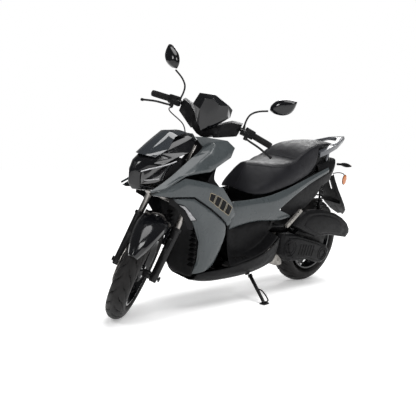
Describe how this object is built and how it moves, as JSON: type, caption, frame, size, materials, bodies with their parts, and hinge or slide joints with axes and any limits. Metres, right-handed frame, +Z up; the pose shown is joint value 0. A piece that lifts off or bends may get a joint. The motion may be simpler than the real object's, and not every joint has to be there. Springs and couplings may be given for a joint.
{
  "type": "step-through motor scooter",
  "caption": "Sports step-through motor scooter on its side stand: turned fork, panelled body, swinging engine unit, lifting seat, folding pegs and levers.",
  "frame": {"origin": "on the ground under the middle of the scooter's bounding box as it leans on its side stand", "axes": "+Z up; -Y forwards, towards the front wheel; +X to the rider's left, the side it leans to"},
  "size_m": [0.6591, 1.9333, 1.3857],
  "materials": {
    "grey_paint": "gloss",
    "gloss_black": "gloss",
    "black_plastic": "satin",
    "frame_black": "satin",
    "rubber": "matte",
    "tread": "matte",
    "steel": "satin",
    "alloy": "satin",
    "lens": "gloss",
    "smoke": "gloss",
    "red_lens": "gloss",
    "amber_lens": "gloss",
    "vinyl": "satin",
    "rail_grey": "satin",
    "mirror_glass": "gloss"
  },
  "bodies": {
    "chassis": {"main_frame": "frame_black", "apron_left": "grey_paint", "apron_right": "grey_paint", "shoulder_left": "grey_paint", "shoulder_right": "grey_paint", "nose_cover": "gloss_black", "headlight_unit": "lens", "windscreen": "smoke", "inner_shield": "black_plastic", "floor_tunnel": "black_plastic", "side_body_left": "grey_paint", "side_body_right": "grey_paint", "belly_pan": "black_plastic", "tail_cover": "black_plastic", "tail_light": "red_lens", "grab_rail": "rail_grey", "plate_holder": "black_plastic", "rear_indicator_left": "black_plastic", "rear_indicator_right": "black_plastic", "fuel_tank": "frame_black", "storage_bin": "black_plastic"},
    "steering": {"steering_stem": "steel", "handlebar": "frame_black", "left_grip": "rubber", "left_switch": "black_plastic", "right_switch": "black_plastic", "bar_cover": "black_plastic", "dash": "gloss_black", "mirror_stalk_left": "frame_black", "mirror_stalk_right": "frame_black", "brake_hose": "rubber"},
    "fork_lower": {"slider_left": "frame_black", "slider_right": "frame_black", "front_mudguard": "gloss_black", "front_axle": "steel", "front_caliper": "alloy"},
    "front_wheel": {"front_rim": "gloss_black", "front_tyre": "tread", "front_disc": "steel"},
    "swing_unit": {"engine_case": "alloy", "cvt_cover": "black_plastic", "air_box": "black_plastic", "exhaust": "frame_black"},
    "rear_wheel": {"rear_rim": "gloss_black", "rear_tyre": "tread"},
    "shock_body": {"shock_upper": "frame_black", "shock_spring": "steel"},
    "shock_rod": {"shock_lower": "frame_black"},
    "stand": {"side_stand": "frame_black"},
    "seat_lid": {"seat": "vinyl"},
    "footpeg_left": {"peg_left": "alloy"},
    "footpeg_right": {"peg_right": "alloy"},
    "throttle": {"throttle_grip": "rubber"},
    "brake_lever_left": {"lever_left": "frame_black"},
    "brake_lever_right": {"lever_right": "frame_black"},
    "mirror_head_left": {"mirror_left": "black_plastic"},
    "mirror_head_right": {"mirror_right": "black_plastic"},
    "horn_key": {"horn_button": "black_plastic"},
    "turn_key": {"turn_switch": "black_plastic"},
    "start_key": {"start_button": "black_plastic"}
  },
  "joints": [
    {"name": "steering_turn", "type": "hinge", "parent": "chassis", "child": "steering", "pos_m": [-0.06664, -0.55342, 0.6121], "axis": [0.1468, 0.4305, 0.8906], "range_deg": [-84, 0]},
    {"name": "fork_slide", "type": "slide", "parent": "steering", "child": "fork_lower", "axis": [0.1468, 0.4305, 0.8906], "range_m": [0, 0.055], "stiffness_N_per_m": 9000, "springref_m": -0.07, "deforming": ["brake_hose"]},
    {"name": "front_wheel_spin", "type": "hinge", "parent": "fork_lower", "child": "front_wheel", "pos_m": [-0.11156, -0.74781, 0.24609], "axis": [0.6853, 0.605, -0.4054], "continuous": true},
    {"name": "swing_up", "type": "hinge", "parent": "chassis", "child": "swing_unit", "pos_m": [-0.11305, 0.13617, 0.33786], "axis": [0.9866, 0.0014, -0.1633], "range_deg": [0, 8], "stiffness_Nm_per_rad": 3600, "springref_deg": -5.73},
    {"name": "rear_wheel_spin", "type": "hinge", "parent": "swing_unit", "child": "rear_wheel", "pos_m": [-0.12465, 0.59678, 0.27189], "axis": [0.9866, 0.0014, -0.1633], "continuous": true},
    {"name": "shock_tilt", "type": "hinge", "parent": "chassis", "child": "shock_body", "pos_m": [0.04029, 0.53416, 0.6799], "axis": [0.9866, 0.0014, -0.1633], "range_deg": [0, 2]},
    {"name": "shock_stroke", "type": "slide", "parent": "shock_body", "child": "shock_rod", "axis": [0.1618, -0.1438, 0.9763], "range_m": [0, 0.066], "deforming": ["shock_spring"]},
    {"name": "stand_fold", "type": "hinge", "parent": "chassis", "child": "stand", "pos_m": [-0.0344, -0.01095, 0.12587], "axis": [0.4871, -0.2858, 0.8253], "range_deg": [0, 85]},
    {"name": "seat_open", "type": "hinge", "parent": "chassis", "child": "seat_lid", "pos_m": [-0.06389, -0.17345, 0.63209], "axis": [0.9866, 0.0014, -0.1633], "range_deg": [0, 38]},
    {"name": "peg_left_fold", "type": "hinge", "parent": "chassis", "child": "footpeg_left", "pos_m": [0.07873, 0.15157, 0.4066], "axis": [-0.1285, 0.6244, -0.7705], "range_deg": [0, 90]},
    {"name": "peg_right_fold", "type": "hinge", "parent": "chassis", "child": "footpeg_right", "pos_m": [-0.27249, 0.15105, 0.46474], "axis": [0.1285, -0.6244, 0.7705], "range_deg": [0, 90]},
    {"name": "throttle_twist", "type": "hinge", "parent": "steering", "child": "throttle", "pos_m": [-0.22858, -0.4427, 1.10548], "axis": [-0.8788, -0.3748, 0.2953], "range_deg": [0, 70], "stiffness_Nm_per_rad": 0.4},
    {"name": "lever_left_pull", "type": "hinge", "parent": "steering", "child": "brake_lever_left", "pos_m": [0.10474, -0.20802, 0.89432], "axis": [0.4447, 0.0933, 0.8908], "range_deg": [0, 16], "stiffness_Nm_per_rad": 1.2, "springref_deg": -8.59},
    {"name": "lever_right_pull", "type": "hinge", "parent": "steering", "child": "brake_lever_right", "pos_m": [-0.18581, -0.46456, 1.06621], "axis": [-0.4447, -0.0933, -0.8908], "range_deg": [0, 16], "stiffness_Nm_per_rad": 1.2, "springref_deg": -8.59},
    {"name": "mirror_left_set", "type": "hinge", "parent": "steering", "child": "mirror_head_left", "pos_m": [0.20497, -0.14661, 1.03206], "axis": [0.4447, 0.0933, 0.8908], "range_deg": [-12, 12]},
    {"name": "mirror_right_set", "type": "hinge", "parent": "steering", "child": "mirror_head_right", "pos_m": [-0.15411, -0.46364, 1.24449], "axis": [0.4447, 0.0933, 0.8908], "range_deg": [-12, 12]},
    {"name": "horn_press", "type": "slide", "parent": "steering", "child": "horn_key", "axis": [0.5768, -0.7907, -0.2051], "range_m": [0, 0.002], "stiffness_N_per_m": 250, "springref_m": -0.001},
    {"name": "turn_press", "type": "slide", "parent": "steering", "child": "turn_key", "axis": [0.5768, -0.7907, -0.2051], "range_m": [0, 0.002], "stiffness_N_per_m": 250, "springref_m": -0.001},
    {"name": "start_press", "type": "slide", "parent": "steering", "child": "start_key", "axis": [0.5768, -0.7907, -0.2051], "range_m": [0, 0.002], "stiffness_N_per_m": 250, "springref_m": -0.001}
  ],
  "couplings": [
    {"joint": "shock_tilt", "follows": "swing_up", "ratio": 0.1118},
    {"joint": "shock_stroke", "follows": "swing_up", "m_per_rad": 0.4472}
  ]
}
